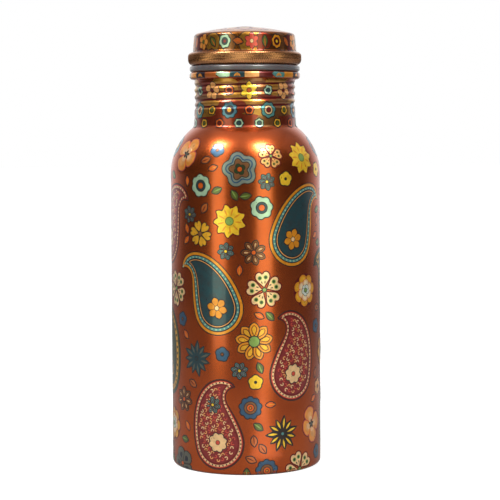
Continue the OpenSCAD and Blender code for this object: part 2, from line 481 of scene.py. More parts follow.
def through(points, steps):
    """A smooth closed curve through given points (Catmull-Rom)."""
    out, n = [], len(points)
    for i in range(n):
        a, b, c, d = (points[(i + k) % n] for k in (-1, 0, 1, 2))
        for j in range(steps):
            t = j / steps
            out.append(tuple(0.5 * (2 * q + (r - p) * t + (2 * p - 5 * q + 4 * r - u) * t * t
                                    + (3 * q - p - 3 * r + u) * t ** 3)
                             for p, q, r, u in zip(a, b, c, d)))
    return out


def normals_of(path):
    """The unit normal to the left of an open path, at each of its points."""
    out = []
    for i in range(len(path)):
        (ax, ay), (bx, by) = path[max(0, i - 1)], path[min(len(path) - 1, i + 1)]
        k = math.hypot(bx - ax, by - ay) or 1.0
        out.append((-(by - ay) / k, (bx - ax) / k))
    return out


def ribbon(path, half):
    """A stripe along an open path; half is its half width."""
    sides = ([], [])
    for (x, y), (nx, ny) in zip(path, normals_of(path)):
        sides[0].append((x - half * nx, y - half * ny))
        sides[1].append((x + half * nx, y + half * ny))
    return sides[0] + sides[1][::-1]


def spaced(path, gap):
    """Points at even distances along a path."""
    out, left = [], gap / 2
    for (ax, ay), (bx, by) in zip(path, path[1:]):
        k = math.hypot(bx - ax, by - ay)
        while left < k:
            t = left / k
            out.append((ax + (bx - ax) * t, ay + (by - ay) * t))
            left += gap
        left -= k
    return out


def stack(outline, *layers, level=0):
    """Nested copies of an outline: each layer is (ink, how far it is moved in)."""
    return [(colour, grown(outline, -d), level + k) for k, (colour, d) in enumerate(layers)]


def put(art, at=(0, 0), turn=0.0, flip=False, level=0):
    """A finished drawing moved, turned, mirrored and raised by some levels."""
    return [(colour, moved(outline, at, turn, flip), k + level)
            for colour, outline, k in art]


# ---------------------------------------------------------------- bending the print onto the metal

INKS = {
    "black": (12, 8, 8), "maroon": (96, 18, 18), "rose": (136, 40, 42), "coral": (212, 78, 62),
    "apricot": (240, 152, 62), "blush": (246, 190, 140), "gold": (238, 174, 44),
    "umber": (150, 96, 54), "garnet": (150, 58, 34), "russet": (200, 104, 46),
    "ivory": (250, 222, 184), "orange": (226, 98, 28), "amber": (232, 146, 34),
    "yellow": (250, 200, 50), "peach": (240, 168, 98), "cream": (246, 200, 146),
    "white": (226, 232, 220), "sand": (206, 160, 108), "bronze": (190, 132, 50),
    "brown": (132, 88, 56), "olive": (92, 104, 44), "green": (134, 166, 84),
    "mint": (172, 202, 172), "forest": (46, 66, 40), "teal": (84, 146, 146),
    "petrol": (36, 70, 78), "navy": (20, 32, 50), "blue": (52, 88, 118), "sky": (76, 128, 146),
    "slate": (92, 94, 84), "pewter": (128, 138, 128),
}
# how far an ink lets the metal through, and how strong its lacquer is, where they aren't plain
PLAIN_SHEER, PLAIN_COAT = 0.60, 0.50
SHEER = {"umber": 0.88, "bronze": 0.88, "garnet": 0.88, "russet": 0.7, "black": 0.0}
COATS = {"black": 0.12, "navy": 0.25, "maroon": 0.25, "forest": 0.3}
INK_MATERIALS = {name: ink("ink_" + name, rgb, SHEER.get(name, PLAIN_SHEER),
                           COATS.get(name, PLAIN_COAT))
                 for name, rgb in INKS.items()}

CELL = 1.0                        # widest gap between points of a film
FIRST_LIFT, LEVEL_LIFT = 0.016, 0.007
SHEET_FACES = 120000              # an ink with more faces than this takes several pieces
SINK = 0.05                       # how far a film reaches into the metal

ARC_END = SHOULDER_Z + SHOULDER_R * math.radians(TOUCH)
FILLET_END = ARC_END + NECK_FILLET_R * math.radians(TOUCH)
CONE_LENGTH = math.hypot(NECK_FOOT_R - NECK_R, THREAD_Z - FOOT_CZ)
CONE_END = FILLET_END + CONE_LENGTH


def bend(cx, cz, r, a, facing=1):
    """Radius, height and normal at angle a of a round corner; facing is -1 in a hollow one."""
    c, s = math.cos(a), math.sin(a)
    return cx + facing * r * c, cz + facing * r * s, c, s


def wall_profile(s):
    """Radius, height and normal of the body's outside; s runs up it and equals z on the wall."""
    if s <= BASE_CORNER_R:
        a = math.radians(max(-60, math.degrees((s - BASE_CORNER_R) / BASE_CORNER_R)))
        return bend(BODY_R - BASE_CORNER_R, BASE_CORNER_R, BASE_CORNER_R, a)
    if s <= SHOULDER_Z:
        return BODY_R, s, 1.0, 0.0
    if s <= ARC_END:
        return bend(SHOULDER_CX, SHOULDER_Z, SHOULDER_R, (s - SHOULDER_Z) / SHOULDER_R)
    if s <= FILLET_END:
        a = math.radians(TOUCH) - (s - ARC_END) / NECK_FILLET_R
        return bend(FOOT_CX, FOOT_CZ, NECK_FILLET_R, a, facing=-1)
    if s <= CONE_END:
        t = (s - FILLET_END) / CONE_LENGTH
        return (NECK_FOOT_R + (NECK_R - NECK_FOOT_R) * t, FOOT_CZ + (THREAD_Z - FOOT_CZ) * t,
                1.0, 0.0)
    return NECK_R, THREAD_Z + s - CONE_END, 1.0, 0.0


def body_skin(angle, s):
    r, z, nr, nz = wall_profile(s)
    if s > CONE_END:
        step = 0.04
        a = angle - math.pi / 2
        slope = (neck_groove(a, r, z + step) - neck_groove(a, r, z - step)) / (2 * step)
        k = math.hypot(1, slope)
        return neck_groove(a, r, z), z, 1 / k, -slope / k
    return r, z, nr, nz


def lip_skin(angle, s):
    """The bead of the lip: s is the height up its outside."""
    corner = LIP_CORNER_R
    low = LIP_Z - LIP_H
    if s < low + corner:
        return bend(LIP_R - corner, low + corner, corner, max(-1.2, (s - low - corner) / corner))
    if s > LIP_Z - corner:
        return bend(LIP_R - corner, LIP_Z - corner, corner, min(1.2, (s - LIP_Z + corner) / corner))
    return LIP_R, s, 1.0, 0.0


DOME_ARC = DOME_R * math.radians(EDGE_ANGLE)
EDGE_ARC = DOME_ARC + CAP_EDGE_R * math.radians(90 - EDGE_ANGLE)
SIDE_LENGTH = EDGE_CZ - RIM_TOP_Z - COVE_R
SIDE_END = EDGE_ARC + SIDE_LENGTH
COVE_END = SIDE_END + COVE_R * math.pi / 2


def cap_skin(angle, s):
    """The cap's shell from the middle of its dome outwards and down, to the rim's shoulder."""
    if s <= DOME_ARC:
        a = s / DOME_R
        return DOME_R * math.sin(a), DOME_CZ + DOME_R * math.cos(a), math.sin(a), math.cos(a)
    if s <= EDGE_ARC:
        a = math.radians(EDGE_ANGLE) + (s - DOME_ARC) / CAP_EDGE_R
        return (DOME_REACH + CAP_EDGE_R * math.sin(a), EDGE_CZ + CAP_EDGE_R * math.cos(a),
                math.sin(a), math.cos(a))
    if s <= SIDE_END:
        t = (s - EDGE_ARC) / SIDE_LENGTH
        return CAP_TOP_R + (CAP_FOOT_R - CAP_TOP_R) * t, EDGE_CZ - SIDE_LENGTH * t, 1.0, 0.0
    if s <= COVE_END:
        a = (s - SIDE_END) / COVE_R
        return bend(CAP_FOOT_R + COVE_R, RIM_TOP_Z + COVE_R, COVE_R, a, facing=-1)
    a = (s - COVE_END) / RIM_SHOULDER_R
    return (RIM_R - RIM_SHOULDER_R + RIM_SHOULDER_R * math.sin(a),
            RIM_TOP_Z - RIM_SHOULDER_R + RIM_SHOULDER_R * math.cos(a), math.sin(a), math.cos(a))


def wrapped(skin, angle, height):
    """Maps a drawing's millimetres to the metal, for a drawing centred there on a turned wall."""
    r0 = skin(0, height)[0]

    def onto(x, y):
        return math.radians(angle) + x / r0, height + y
    return onto


def drawn_down(angle, reach):
    """The same for the cap: a flat disc of print drawn down over the dome and its side."""
    a0 = math.radians(angle)

    def onto(x, y):
        px, py = reach - y, x
        return a0 + math.atan2(py, px), math.hypot(px, py)
    return onto


def clipped(outline, low):
    """The part of an outline that lies above a height."""
    out = []
    for (ax, ay), (bx, by) in zip(outline, outline[1:] + outline[:1]):
        if ay >= low:
            out.append((ax, ay))
        if (ay >= low) != (by >= low):
            out.append((ax + (bx - ax) * (low - ay) / (by - ay), low))
    return out


def split_long(outline, longest):
    out = []
    for (ax, ay), (bx, by) in zip(outline, outline[1:] + outline[:1]):
        n = max(1, math.ceil(math.hypot(bx - ax, by - ay) / longest))
        out += [(ax + (bx - ax) * i / n, ay + (by - ay) * i / n) for i in range(n)]
    return out


def filled(outline, cell, rise):
    """Triangles that fill an outline, with inner points so that they can follow a curved wall."""
    outline = split_long(outline, max(cell, 0.5))
    xs, ys = [p[0] for p in outline], [p[1] for p in outline]
    points = [Vector(p) for p in outline]
    left, right, low, high = min(xs), max(xs), min(ys), max(ys)
    if right - left > 1.2 * cell or high - low > 1.2 * rise:
        for j in range(math.ceil(low / rise), math.ceil(high / rise)):
            shift = 0.5 * cell * (j % 2)
            for i in range(math.ceil((left - shift) / cell), math.ceil((right - shift) / cell)):
                points.append(Vector((i * cell + shift, j * rise)))
    verts, _, faces, *_ = delaunay_2d_cdt(points, [], [list(range(len(outline)))], 1, 1e-4)
    return verts, [f for f in faces if len(f) == 3]


class Print:
    """The films of one skin, gathered by ink."""

    def __init__(self, prefix, skin, body, slot):
        self.prefix, self.skin, self.body, self.slot = prefix, skin, body, slot
        self.films = {}

    def lay(self, art, onto, level=0, rise=CELL, low=None, lifts=(FIRST_LIFT, LEVEL_LIFT)):
        for colour, outline, k in art:
            if low is not None:
                outline = clipped(outline, low)
            if len(outline) > 2:
                self.film(colour, outline, onto, lifts[0] + lifts[1] * (k + level), rise)

    def film(self, colour, outline, onto, lift, rise):
        sheets = self.films.setdefault(colour, [([], [], [])])
        if len(sheets[-1][2]) > SHEET_FACES:
            sheets.append(([], [], []))
        verts, normals, faces = sheets[-1]
        flat, cells = filled(outline, CELL, rise)
        used = {v: n for n, v in enumerate(sorted({v for f in cells for v in f}))}
        first, count = len(verts), len(used)
        for height, sign in ((lift, 1), (-SINK, -1)):
            for v in used:
                a, s = onto(flat[v].x, flat[v].y)
                r, z, nr, nz = self.skin(a, s)
                out = Vector((math.sin(a) * nr, -math.cos(a) * nr, nz))
                spot = Vector((math.sin(a) * r, -math.cos(a) * r, z)) + height * out
                verts.append(spot * MM)
                normals.append(out * sign)
        for f in cells:
            top = [first + used[v] for v in f]
            faces.append(top)
            faces.append([v + count for v in reversed(top)])
        edges = {(a, b) for f in cells for a, b in
                 zip([used[v] + first for v in f], [used[v] + first for v in f[1:] + f[:1]])}
        for a, b in sorted(edges):
            if (b, a) not in edges:
                faces.append([b, a, a + count, b + count])

    def make(self):
        """One piece for each sheet of an ink, which rides on the print's body."""
        for colour, sheets in sorted(self.films.items()):
            for n, (verts, normals, faces) in enumerate(sheets):
                name = f"{self.prefix}_{colour}" + (f"_{n + 1}" if n else "")
                piece = finished(name, verts, faces, [INK_MATERIALS[colour]])
                piece.data.normals_split_custom_set_from_vertices(normals)
                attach(piece, self.body)


# ---------------------------------------------------------------- flowers and leaves

def heart_flower(r, fill="cream", dot="forest"):
    """Five hearts round a small eye, each with two seeds and two dashes."""
    art, seed = [("black", circle(0.15 * r), 4), ("green", circle(0.10 * r), 5)], 0.085
    for i in range(5):
        turn = 8 + 72 * i
        blade = moved(moved(heart(0.92 * r, 0.84 * r), (0, 0.10 * r)), turn=turn)
        art += stack(grown(blade, 0.5), ("maroon", 0), (fill, 0.65))
        for x in (-0.17 * r, 0.17 * r):
            art += put([("green", circle(1.5 * seed * r, (x, 0.70 * r)), 2),
                        (dot, circle(seed * r, (x, 0.70 * r)), 3)], turn=turn)
        for x in (-0.07, 0.07):
            dash = moved(petal(0.20 * r, 0.07 * r), (x * r, 0.32 * r), -160 * x)
            art += put([(dot, dash, 2)], turn=turn)
    return art


def bloom(r, n, width, fill, line=0.45, belly=1.4, full=0.8, apart=False, rib=None,
          rib_size=0.5, eye=()):
    """A flower of n petals. apart outlines every petal, rib lays a smaller petal on each,
    and eye lists (ink, radius as a share of r) from the outside in."""
    art = []
    for i, blade in enumerate(around(petal(r, width * r, belly, full), n)):
        k, turn = (3 * i if apart else 0), 360 * i / n
        art += [("black", grown(blade, line), k), (fill, blade, k + 1)]
        if rib:
            small = petal(r * rib_size, width * r * rib_size, belly, full)
            art.append((rib, moved(small, polar(0.25 * r, turn), turn), k + 2))
    top = 3 * n if apart else 3
    return art + [(colour, circle(share * r), top + i) for i, (colour, share) in enumerate(eye)]


def pansy(r):
    """Four broad round petals that overlap, with blushing throats and a small dark star."""
    art = []
    sizes = ((0, 1.08, 0.86), (180, 1.0, 0.92), (82, 0.96, 1.0), (-88, 0.80, 0.92))
    for i, (turn, length, width) in enumerate(sizes):
        blade = moved(petal(length * r, width * r, 1.55, 0.62), turn=turn)
        throat = moved(petal(0.46 * r, 0.36 * r, 1.5, 0.7), turn=turn)
        tint = moved(petal(0.74 * length * r, 0.50 * width * r, 1.7, 0.7), turn=turn)
        art += [("black", grown(blade, 0.55), 0), ("coral", grown(blade, 0.22), 4 * i + 1),
                ("apricot", grown(blade, -0.22), 4 * i + 2), ("peach", tint, 4 * i + 3),
                ("blush", throat, 17)]
    art += [("black", moved(petal(0.27 * r, 0.15 * r, 1.2), turn=72 * i + 20), 19)
            for i in range(5)]
    return art + [("slate", circle(0.10 * r), 20)]


def wavy_daisy(r):
    """Broad petals with slightly hooked tips."""
    n = 9
    blade = [(0, 0), (0.20, 0.30), (0.27, 0.62), (0.20, 0.86), (0.05, 1.0), (-0.08, 0.84),
            (-0.25, 0.66), (-0.18, 0.30)]
    blade = [(x * r, y * r) for x, y in through(blade, 4)]
    art = []
    for i in range(n):
        p = moved(blade, turn=360 * i / n)
        art += [("maroon", grown(p, 0.55), 0), ("yellow", p, 1)]
        art.append(("amber", moved(petal(0.5 * r, 0.10 * r), turn=360 * i / n + 6,
                                   at=polar(0.28 * r, 360 * i / n + 6)), 2))
    return art + [("olive", circle(0.27 * r), 3), ("green", circle(0.23 * r), 4)]


def spiked(r, n, dark, rib, eye):
    """A star of narrow pointed leaves, each with a bright rib."""
    art = []
    for i in range(n):
        turn = 360 * i / n + 7
        long = 1.0 if i % 2 else 0.88
        blade = petal(long * r, 0.30 * r, 1.0, 1.15)
        inner = petal(0.58 * long * r, 0.115 * r, 1.0, 1.1)
        art += put([("black", grown(blade, 0.35), 0), (dark, blade, 1)], turn=turn)
        art += put([(rib, moved(inner, (0.02 * r, 0.30 * r)), 2)], turn=turn)
    return art + [("black", circle(0.13 * r), 3), (eye, circle(0.08 * r), 4)]


def rose(r):
    """Three rings of round petals, each petal with its own outline and blush."""
    art = [("maroon", lobed(r, 7, 0.10, 10, 0.6), 0)]
    k = 1
    for n, reach, size, edge, fill, inner in ((7, 0.66, 0.32, "maroon", "amber", "gold"),
                                              (6, 0.40, 0.26, "coral", "cream", "ivory"),
                                              (5, 0.19, 0.17, "slate", "white", "white")):
        for i in range(n):
            turn = 10 + 17 * n + 360 * i / n
            blade = moved(oval(size * r * 1.1, size * r, (0, reach * r)), turn=turn)
            art += [(edge, blade, k), (fill, grown(blade, -0.25), k + 1),
                    (inner, grown(blade, -0.30 * size * r - 0.3), k + 2)]
            k += 2
    return art + [("slate", circle(0.15 * r), k + 1), ("green", circle(0.11 * r), k + 2)]


def badge(r):
    """A squarish slate flower with a fine blue line, a brown star and a quatrefoil."""
    art = stack(lobed(r, 5, 0.22, 20, 0.9), ("black", 0), ("pewter", 0.45))
    art += stack(lobed(0.80 * r, 5, 0.30, 20, 1.2), ("blue", 0), ("pewter", 0.7), level=2)
    art += stack(lobed(0.62 * r, 5, 0.34, 20, 1.3), ("black", 0), ("brown", 0.45), level=4)
    for colour, size, k in (("black", 0.30, 6), ("forest", 0.26, 7)):
        art += [(colour, circle(size * 0.55 * r, polar(0.17 * r, 90 * i)), k)
                for i in range(4)]
    return art + [("black", circle(0.16 * r), 8), ("orange", circle(0.125 * r), 9)]


def ringed(r, outer, rings, lobes=8):
    """A lobed flower with rings of colour in it."""
    line = 0.55
    art = stack(lobed(r, lobes, 0.16, 0, 0.7), ("black", 0), (outer, line))
    for i, (colour, share) in enumerate(rings):
        art += stack(circle(share * r), ("black", 0), (colour, 0.7 * line), level=2 + 2 * i)
    return art


def seeded(r):
    """Yellow petals on a forest-green heart, with green leaves set between and beyond them."""
    art = []
    for i in range(8):
        blade = moved(petal(0.62 * r, 0.30 * r, 0.9, 0.8), (0, 0.42 * r))
        art += put(stack(grown(blade, 0.45), ("black", 0), ("olive" if i % 2 else "green", 0.5)),
                   turn=45 * i + 22)
        bright = moved(petal(0.48 * r, 0.26 * r, 1.5, 0.7), (0, 0.26 * r))
        art += put(stack(grown(bright, 0.4), ("black", 0), ("gold", 0.5), level=2), turn=45 * i)
    for i in range(8):
        art.append(("forest", moved(petal(0.50 * r, 0.10 * r, 1.0), turn=45 * i), 4))
    art += [("forest", circle(0.33 * r), 4), ("black", circle(0.15 * r), 5),
            ("orange", circle(0.125 * r), 6)]
    return art


def outlined(r, n, fill, eye="orange", width=0.46, eye_size=0.16, inner=None, line=0.5):
    """A flower drawn in outline, each petal with a loop inside it."""
    art = bloom(r, n, width, fill, belly=1.6, full=0.72, apart=True, line=line)
    top = 3 * n
    for loop in around(petal(0.60 * r, 0.52 * width * r, 1.6), n, 0.26 * r):
        art += [("maroon", grown(loop, 0.4 * line), top + 1),
                (inner or fill, grown(loop, -0.4 * line), top + 2)]
    return art + [("black", circle(eye_size * r + line), top + 3),
                  (eye, circle(eye_size * r), top + 4)]


def notched(r, n, fill, eye):
    """Heart-shaped petals that overlap, cut in at the tip."""
    art = []
    for i in range(n):
        p = moved(heart(0.92 * r, 0.66 * r), polar(0.08 * r, 360 * i / n), 360 * i / n)
        art += [("black", grown(p, 0.35), 2 * i), (fill, grown(p, -0.05), 2 * i + 1)]
    return art + stack(circle(0.24 * r), ("black", 0), (eye, 0.35), level=2 * n)


def leaf(length, width, fill, rib):
    """A pointed leaf from the origin along +Y, with a rib."""
    blade = petal(length, width, 1.0, 0.9)
    return stack(grown(blade, 0.4), ("black", 0), (fill, 0.55)) + [
        (rib, petal(0.8 * length, 0.16 * width, 0.9), 2)]


# ---------------------------------------------------------------- the body's print

body_print = Print("print", body_skin, "bottle", "copper_body")
THREAD_LIFTS = (0.050, 0.014)
THREAD_RISE = 0.16
OVER_NECK = CONE_END - THREAD_Z        # what the skin's height runs ahead of z above the shoulder


def stamp(angle, height, art, turn=0.0, flip=False):
    """Lays a drawing on the wall or shoulder, cut off where the base turns under."""
    body_print.lay(put(art, turn=turn, flip=flip), wrapped(body_skin, angle, height), low=-height)


def stamp_neck(angle, z, art, turn=0.0, level=0):
    """Lays a drawing over the thread, finely enough to follow its ridges."""
    body_print.lay(put(art, turn=turn), wrapped(body_skin, angle, z + OVER_NECK),
                   level, THREAD_RISE, lifts=THREAD_LIFTS)


def blob(width, height, phase):
    """A soft uneven patch; phase changes its shape."""
    out, n = [], 40
    for i in range(n):
        a = math.tau * i / n
        k = 1 + 0.10 * math.sin(2 * a + phase) + 0.07 * math.sin(3 * a + 2.1 * phase) \
            + 0.05 * math.sin(5 * a + 3.7 * phase)
        c, s = math.cos(a), math.sin(a)
        square = (abs(c) ** 3 + abs(s) ** 3) ** (-1 / 3)
        out.append((0.5 * width * k * square * c, 0.5 * height * k * square * s))
    return out


def boteh(length, width, inset=0.0):
    """A plain paisley outline: a drop whose tip bends over, with its round head at the origin."""
    steps, tip = 40, 0.05
    half = max(tip, 0.5 * width - inset)
    x = y = 0.0
    left, right = [], []
    for i in range(steps + 1):
        t = i / steps
        a = math.radians(90 - 14 * t - 125 * t ** 3)
        w = max(tip, 0.5 * width * (1 - t ** 1.8) - inset)
        left.append((x - w * math.sin(a), y + w * math.cos(a)))
        right.append((x + w * math.sin(a), y - w * math.cos(a)))
        x, y = x + length / steps * math.cos(a), y + length / steps * math.sin(a)
    head = [(half * math.cos(t), half * math.sin(t))
            for t in (math.pi * (1 + i / 24) for i in range(1, 24))]
    return head + right + left[::-1]


def within(outline, x, y):
    """Whether a point lies inside a closed outline."""
    hit = False
    for (ax, ay), (bx, by) in zip(outline, outline[1:] + outline[:1]):
        if (ay > y) != (by > y) and x < ax + (bx - ax) * (y - ay) / (by - ay):
            hit = not hit
    return hit


def beaded(length, width, bands, inset, bead, gap=1.9, size=0.4):
    """A paisley in nested bands of (ink, inset), with a row of beads set in from its edge."""
    art = [(ink, boteh(length, width, d), k) for k, (ink, d) in enumerate(bands)]
    row = boteh(length, width, inset)
    return art + [(bead, circle(size, (x, y), 8), len(bands))
                  for x, y in spaced(row + row[:1], gap) if y < 0.8 * length]


def lace_paisley(length, width):
    """A paisley with a field of small curls and a flower in its head."""
    art = beaded(length, width, (("black", -0.5), ("maroon", 0), ("coral", 0.5), ("cream", 1.0),
                                 ("rose", 1.9), ("maroon", 2.4), ("rose", 2.8)), 1.4, "black")
    field = boteh(length, width, 3.9)
    for j in range(-7, 19):
        for i in range(-9, 10):
            x, y = 2.1 * i + 1.0 * (j % 2), 2.1 * j
            if within(field, x, y) and math.hypot(x, y) > 5.4:
                curl = [(x + 0.7 * math.cos(math.radians(70 * i + 130 * j + 30 * k)),
                         y + 0.7 * math.sin(math.radians(70 * i + 130 * j + 30 * k)))
                        for k in range(9)]
                art.append((("peach", "coral", "cream")[(i + 2 * j) % 3], ribbon(curl, 0.22), 8))
    return art + put(bloom(4.8, 8, 0.6, "cream", belly=1.8,
                           eye=(("black", 0.26), ("coral", 0.2))), level=9)


def striped_paisley(length, width):
    art = beaded(length, width, (("black", -0.5), ("amber", 0), ("black", 1.3), ("teal", 1.8),
                                 ("navy", 3.0), ("peach", 3.7), ("black", 4.1), ("petrol", 4.5)),
                 2.4, "mint", 2.2, 0.42)
    return art + put(bloom(5.2, 6, 0.62, "amber", belly=1.7,
                           eye=(("black", 0.26), ("cream", 0.2))), level=9)


def dotted_paisley(length, width):
    art = beaded(length, width, (("black", -0.5), ("forest", 0), ("black", 1.5), ("gold", 1.9),
                                 ("black", 4.4), ("forest", 4.8)), 3.1, "black", 3.0, 0.75)
    return art + put(ringed(4.6, "cream", (("olive", 0.62), ("orange", 0.3)), lobes=6), level=7)


# A plain half-drop of paisleys goes round the wall, and flowers fill the room that they leave.
PAISLEY_COLUMNS, DROP, LOWEST, HIGHEST = 6, 66.0, 16.0, 120.0
PAISLEY_LENGTH, PAISLEY_WIDTH = 36.0, 26.0
PRINT_TOP = 169.0
PAISLEY_START, PAISLEY_LEAN = -22.0, 16.0
PAISLEYS = (lace_paisley, striped_paisley, dotted_paisley)
EDGE_ROOM, GAP, REACHED = 1.8, 0.5, 32.0
taken = []                        # circles of (angle, height, radius)


def room(angle, height):
    """How far a spot on the wall is from the nearest drawing's edge. A paisley counts as its head
    and points on its outline, so a small flower can still land in its waist."""
    free = PRINT_TOP - height
    for a, h, r in taken:
        if abs(h - height) < REACHED:
            turn = (a - angle + 180) % 360 - 180
            near = body_skin(0, max(h, height))[0]
            free = min(free, math.hypot(math.radians(turn) * near, h - height) - r)
    return free


for column in range(PAISLEY_COLUMNS):
    for row in range(3):
        angle = 360 / PAISLEY_COLUMNS * column + PAISLEY_START
        height = LOWEST + DROP * (row + 0.5 * (column % 2))
        if height > HIGHEST:
            continue
        flip, lean = (column + row) % 2 == 1, PAISLEY_LEAN * (-1) ** column
        drawing = PAISLEYS[(column // 2 + row) % 3]
        stamp(angle, height, drawing(PAISLEY_LENGTH, PAISLEY_WIDTH), lean, flip=flip)
        outline = moved(boteh(PAISLEY_LENGTH, PAISLEY_WIDTH), turn=lean, flip=flip)
        taken += [(angle, height, 0.5 * PAISLEY_WIDTH + GAP)]
        taken += [(angle + math.degrees(x / body_skin(0, height)[0]), height + y, EDGE_ROOM)
                  for x, y in outline[::3]]

# rings of (radius to keep free, the drawings that take turns in it), the largest first
FLOWERS = (
    (9.4, (heart_flower(8.6), rose(8.4), badge(9.0), spiked(9.0, 11, "black", "yellow", "teal"),
           seeded(9.2), pansy(9.0), outlined(9.2, 9, "amber", "green", 0.50, 0.27, "gold", 0.45),
           wavy_daisy(8.0), spiked(9.0, 11, "petrol", "slate", "petrol"),
           bloom(8.2, 5, 0.80, "slate", belly=1.9, apart=True, rib="navy", rib_size=0.45,
                 eye=(("black", 0.15), ("orange", 0.11))))),
    (6.4, (ringed(6.0, "blue", (("brown", 0.56), ("orange", 0.34), ("amber", 0.14)), lobes=9),
           notched(6.2, 6, "gold", "brown"), heart_flower(5.8, "peach", "maroon"),
           ringed(6.0, "sky", (("navy", 0.5), ("yellow", 0.3)), lobes=7),
           bloom(6.0, 5, 0.8, "coral", belly=1.8, apart=True,
                 eye=(("black", 0.3), ("cream", 0.22))),
           ringed(6.0, "mint", (("petrol", 0.5), ("orange", 0.3)), lobes=7),
           outlined(6.0, 7, "umber", inner="sand"))),
    (4.2, (ringed(4.0, "yellow", (("teal", 0.20), ("blue", 0.13)), lobes=5),
           ringed(3.9, "blue", (("brown", 0.28), ("orange", 0.16)), lobes=5),
           bloom(4.0, 6, 0.7, "peach", belly=1.7, eye=(("black", 0.26), ("maroon", 0.2))),
           outlined(4.0, 7, "teal", "yellow"))),
    (2.3, (put(leaf(5.6, 3.2, "olive", "green"), (0, -2.8)),
           put(leaf(5.2, 2.8, "orange", "amber"), (0, -2.6)),
           put(leaf(5.6, 3.2, "russet", "maroon"), (0, -2.8)))))
TRIES, GOLDEN_ANGLE = 2200, 137.5
ACROSS, UPWARD = 0.7548776662, 0.5698402910     # steps whose spots never bunch up
LOWEST_SPOT, TOP_MARGIN = 1, 8
for radius, drawings in FLOWERS:
    placed = 0
    for k in range(TRIES):
        angle = 360 * (ACROSS * k % 1)
        height = LOWEST_SPOT + (PRINT_TOP - TOP_MARGIN) * (UPWARD * k % 1)
        if room(angle, height) > radius + GAP:
            stamp(angle, height, drawings[placed % len(drawings)], GOLDEN_ANGLE * placed)
            taken.append((angle, height, radius))
            placed += 1


# the neck is covered all round with patches and small flowers
NECK_GROUNDS = ("umber", "bronze", "garnet", "bronze", "umber", "bronze", "garnet", "umber")
NECK_FOOT_GROUNDS = ("garnet", "umber", "garnet", "garnet", "garnet", "garnet")
for row, (z, height) in enumerate(((173.4, 6.0), (179.0, 6.2), (184.4, 6.4), (189.6, 6.2))):
    for i in range(12):
        colour = NECK_GROUNDS[(i + 3 * row) % 8] if row else NECK_FOOT_GROUNDS[i % 6]
        stamp_neck(30 * i + 13 * row, z, [(colour, blob(15.5, height + 1.6, i + 2.0 * row), 0)],
                   level=i % 3 + 3 * (row % 2))

# painted shade: maroon ink darkens the bottom of the thread's grooves, where shade falls, drawn as
# short strips that climb with it
SHADE_STRIPS, TURNS, OVERLAP, HALF_STRIP = 24, 5, 0.2, 0.5
half = 0.5 * math.radians(360 / SHADE_STRIPS + OVERLAP) * NECK_R
climb = PITCH / SHADE_STRIPS / 2
strip = [(-half, -HALF_STRIP - climb), (half, -HALF_STRIP + climb),
         (half, HALF_STRIP + climb), (-half, HALF_STRIP - climb)]
for i in range(SHADE_STRIPS * TURNS):
    angle = 360 / SHADE_STRIPS * (i % SHADE_STRIPS) - 180
    z = CREST_Z + PITCH * (i // SHADE_STRIPS - 0.5 * TURNS + angle / 360)
    if THREAD_Z + 1 < z < THREAD_TOP_Z - 0.8:
        # each strip is painted shade laid in a groove of the thread
        stamp_neck(angle, z, [("maroon", strip, 0)], level=6)

# two staggered rows of flowers go round the thread, with smaller ones between and at its foot
BIG_R, BUD_R = 4.4, 2.7
NECK_FLOWERS = (bloom(BIG_R, 6, 0.56, "yellow", line=0.35, eye=(("black", 0.3), ("orange", 0.22))),
                ringed(BIG_R, "teal", (("cream", 0.56), ("rose", 0.32)), lobes=7),
                bloom(BIG_R, 5, 0.72, "peach", line=0.35, belly=1.7,
                      eye=(("black", 0.28), ("maroon", 0.22))),
                ringed(BIG_R, "sky", (("navy", 0.56), ("amber", 0.32))))
NECK_BUDS = (ringed(BUD_R, "orange", (("maroon", 0.5),), lobes=5),
             ringed(BUD_R, "mint", (("petrol", 0.5),), lobes=6),
             ringed(BUD_R, "gold", (("olive", 0.5),), lobes=5))
LOW_ROW_Z, HIGH_ROW_Z, FOOT_ROW_Z = 178.0, 187.6, 171.6
NECK_PLACES = 16
for k in range(NECK_PLACES):
    angle = 360 / NECK_PLACES * k + 5
    rows = (LOW_ROW_Z, HIGH_ROW_Z) if k % 2 else (HIGH_ROW_Z, LOW_ROW_Z)
    stamp_neck(angle, rows[0], NECK_FLOWERS[k % 4], 20 * k, level=8)
    stamp_neck(angle, rows[1], NECK_BUDS[k % 3], 20 * k, level=8)
    stamp_neck(angle + 11, FOOT_ROW_Z, NECK_BUDS[(k + 1) % 3], 30 * k, level=8)

body_print.make()

# the lip's own print, a band of short blocks
lip_print = Print("lip", lip_skin, "bottle", "copper_body")
LIP_LIFTS = (0.035, 0.018)
LIP_COLOURS = ("peach", "maroon", "teal", "amber", "navy", "russet", "mint", "petrol")
LIP_STEP, HALF_BLOCK_H, LIP_RISE = 15, 1.5, 0.3
size = math.radians(LIP_STEP) * LIP_R
oblong = [(-0.5 * size, -HALF_BLOCK_H), (0.5 * size, -HALF_BLOCK_H),
          (0.5 * size, HALF_BLOCK_H), (-0.5 * size, HALF_BLOCK_H)]
for k in range(360 // LIP_STEP):
    colour = LIP_COLOURS[k % len(LIP_COLOURS)]
    shape = blob(size - 0.2, 3.1, LIP_STEP) if colour in ("teal", "mint") else oblong
    onto = wrapped(lip_skin, LIP_STEP * (k + 0.5), LIP_Z - LIP_H / 2)
    lip_print.lay(stack(shape, ("black", 0), (colour, 0.12)), onto, rise=LIP_RISE, lifts=LIP_LIFTS)
    if colour in ("teal", "petrol", "navy"):
        lip_print.lay([("apricot", moved(petal(2.0, 0.9), (dx, -1.0), 25 * dx), 3)
                       for dx in (-1.6, 0, 1.6)], onto, rise=LIP_RISE, lifts=LIP_LIFTS)
lip_print.make()


# ---------------------------------------------------------------- the cap's print

